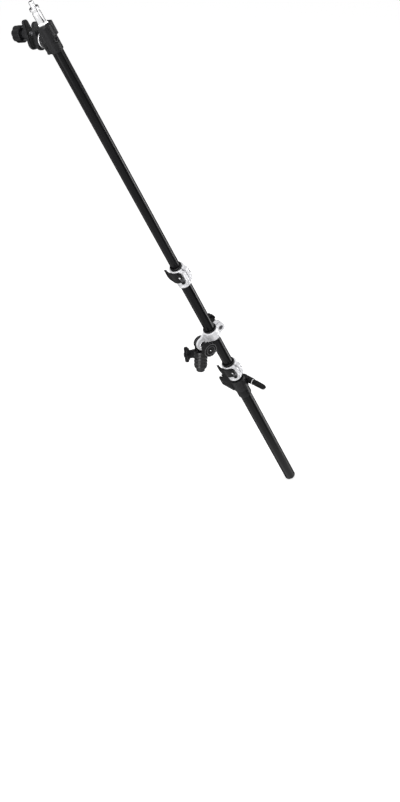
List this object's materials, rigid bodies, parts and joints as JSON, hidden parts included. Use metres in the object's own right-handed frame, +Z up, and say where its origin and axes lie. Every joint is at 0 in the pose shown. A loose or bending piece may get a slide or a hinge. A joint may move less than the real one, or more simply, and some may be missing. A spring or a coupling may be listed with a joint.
{
  "type": "telescoping reflector holder arm",
  "caption": "Telescoping boom arm with flip locks, tilting saddle on a light stand socket, spigot and screw clamp at its head, and a sliding clamp on the lower tube.",
  "frame": {"origin": "centre of the stand socket's mouth at the adapter's foot", "axes": "+Z up along the stand socket; the boom's upper end leans towards -X in the XZ plane; +Y is the pivot axis, away from the tilt knob"},
  "size_m": [0.7293, 0.1447, 1.3662],
  "materials": {
    "aluminium": "satin cast and turned aluminium",
    "black_paint": "black paint on cast alloy",
    "black_tube": "black anodised tube",
    "black_plastic": "black moulded plastic",
    "steel": "bright steel",
    "dark_steel": "blackened steel",
    "brass": "bare brass",
    "rubber": "black rubber"
  },
  "bodies": {
    "adapter": {"adapter_body": "black_paint", "pivot_bolt": "dark_steel", "friction_disc": "dark_steel"},
    "lock_pad": {"socket_lock_pad": "brass"},
    "socket_lock": {"socket_lock_screw": "steel", "socket_lock_knob": "black_plastic"},
    "tilt_knob": {"tilt_knob": "black_plastic", "tilt_washer": "steel"},
    "saddle": {"clamp_saddle": "aluminium", "collar_bolt": "dark_steel", "collar_washer": "steel"},
    "collar_knob": {"collar_knob": "black_plastic"},
    "sleeve": {"boom_sleeve": "black_plastic"},
    "middle_section": {"middle_tube": "black_tube", "middle_end_plug": "black_plastic", "upper_lock_collar": "aluminium", "upper_lock_insert": "black_plastic", "upper_lock_bolt": "dark_steel", "upper_lock_nut": "steel"},
    "upper_lever": {"upper_lock_lever": "black_plastic", "upper_lock_pin": "dark_steel"},
    "lower_section": {"lower_tube": "black_tube", "lower_end_cap": "black_plastic", "lower_lock_collar": "aluminium", "lower_lock_insert": "black_plastic", "lower_lock_bolt": "dark_steel", "lower_lock_nut": "steel"},
    "lower_lever": {"lower_lock_lever": "black_plastic", "lower_lock_pin": "dark_steel"},
    "lower_clamp": {"lower_clamp_body": "black_paint", "lower_clamp_liner": "black_plastic", "rim_slot_liner": "rubber", "lower_clamp_bolt": "dark_steel", "lower_clamp_washer": "steel"},
    "clamp_grip": {"lower_clamp_grip": "black_plastic"},
    "upper_section": {"upper_tube": "black_tube", "upper_end_plug": "black_plastic", "head_block": "black_paint", "spigot": "steel", "spigot_set_screw": "dark_steel", "tube_set_screw": "dark_steel", "head_bolt": "dark_steel", "head_washer": "aluminium"},
    "head_clamp": {"fixed_jaw": "black_paint", "fixed_jaw_pad": "rubber", "jaw_guide_pin": "steel", "clamp_stud": "dark_steel"},
    "moving_jaw": {"moving_jaw": "black_paint", "moving_jaw_pad": "rubber", "head_knob_washer": "steel"},
    "head_knob": {"head_knob": "black_plastic"}
  },
  "joints": [
    {"name": "lock_pad_slide", "type": "slide", "parent": "adapter", "child": "lock_pad", "axis": [0.9397, -0.342, 0], "range_m": [0, 0.0012]},
    {"name": "socket_lock_turn", "type": "hinge", "parent": "adapter", "child": "socket_lock", "pos_m": [0, 0, 0.05], "axis": [-0.9397, 0.342, 0], "range_deg": [0, 345]},
    {"name": "tilt_knob_turn", "type": "hinge", "parent": "adapter", "child": "tilt_knob", "pos_m": [0, 0, 0.078], "axis": [0, -1, 0], "range_deg": [-180, 180]},
    {"name": "boom_tilt", "type": "hinge", "parent": "adapter", "child": "saddle", "pos_m": [0, 0, 0.078], "axis": [0, 1, 0], "range_deg": [-72.5, 12.5]},
    {"name": "collar_knob_turn", "type": "hinge", "parent": "saddle", "child": "collar_knob", "pos_m": [0.04523, -0.008, 0.11564], "axis": [0, 1, 0], "range_deg": [-180, 180]},
    {"name": "boom_roll", "type": "hinge", "parent": "saddle", "child": "sleeve", "pos_m": [0.03016, -0.008, 0.0937], "axis": [-0.4617, 0, 0.887], "range_deg": [-180, 180]},
    {"name": "middle_slide", "type": "slide", "parent": "sleeve", "child": "middle_section", "axis": [-0.4617, 0, 0.887], "range_m": [-0.14, 0.015]},
    {"name": "upper_lever_turn", "type": "hinge", "parent": "middle_section", "child": "upper_lever", "pos_m": [-0.06436, -0.03272, 0.25419], "axis": [-0.4617, 0, 0.887], "range_deg": [0, 100]},
    {"name": "lower_slide", "type": "slide", "parent": "middle_section", "child": "lower_section", "axis": [-0.4617, 0, 0.887], "range_m": [-0.14, 0.005]},
    {"name": "lower_lever_turn", "type": "hinge", "parent": "lower_section", "child": "lower_lever", "pos_m": [0.09503, -0.03462, -0.05066], "axis": [-0.4617, 0, 0.887], "range_deg": [0, 100]},
    {"name": "lower_clamp_slide", "type": "slide", "parent": "lower_section", "child": "lower_clamp", "axis": [-0.4617, 0, 0.887], "range_m": [-0.385, 0.004]},
    {"name": "clamp_grip_turn", "type": "hinge", "parent": "lower_clamp", "child": "clamp_grip", "pos_m": [0.1418, -0.00469, -0.06972], "axis": [0.1234, -0.9903, 0.0643], "range_deg": [-180, 180]},
    {"name": "upper_slide", "type": "slide", "parent": "middle_section", "child": "upper_section", "axis": [-0.4617, 0, 0.887], "range_m": [-0.47, 0.01]},
    {"name": "head_clamp_swivel", "type": "hinge", "parent": "upper_section", "child": "head_clamp", "pos_m": [-0.3494, -0.008, 0.82282], "axis": [-0.3608, 0.9135, -0.1878], "range_deg": [-180, 180]},
    {"name": "moving_jaw_slide", "type": "slide", "parent": "head_clamp", "child": "moving_jaw", "axis": [0.3608, -0.9135, 0.1878], "range_m": [-0.003, 0.005]},
    {"name": "head_knob_turn", "type": "hinge", "parent": "moving_jaw", "child": "head_knob", "pos_m": [-0.35196, -0.00651, 0.83497], "axis": [-0.3608, 0.9135, -0.1878], "range_deg": [-360, 600]}
  ],
  "couplings": [
    {"joint": "socket_lock_turn", "follows": "lock_pad_slide", "rad_per_m": 5026.5},
    {"joint": "head_knob_turn", "follows": "moving_jaw_slide", "rad_per_m": 2094.4}
  ]
}
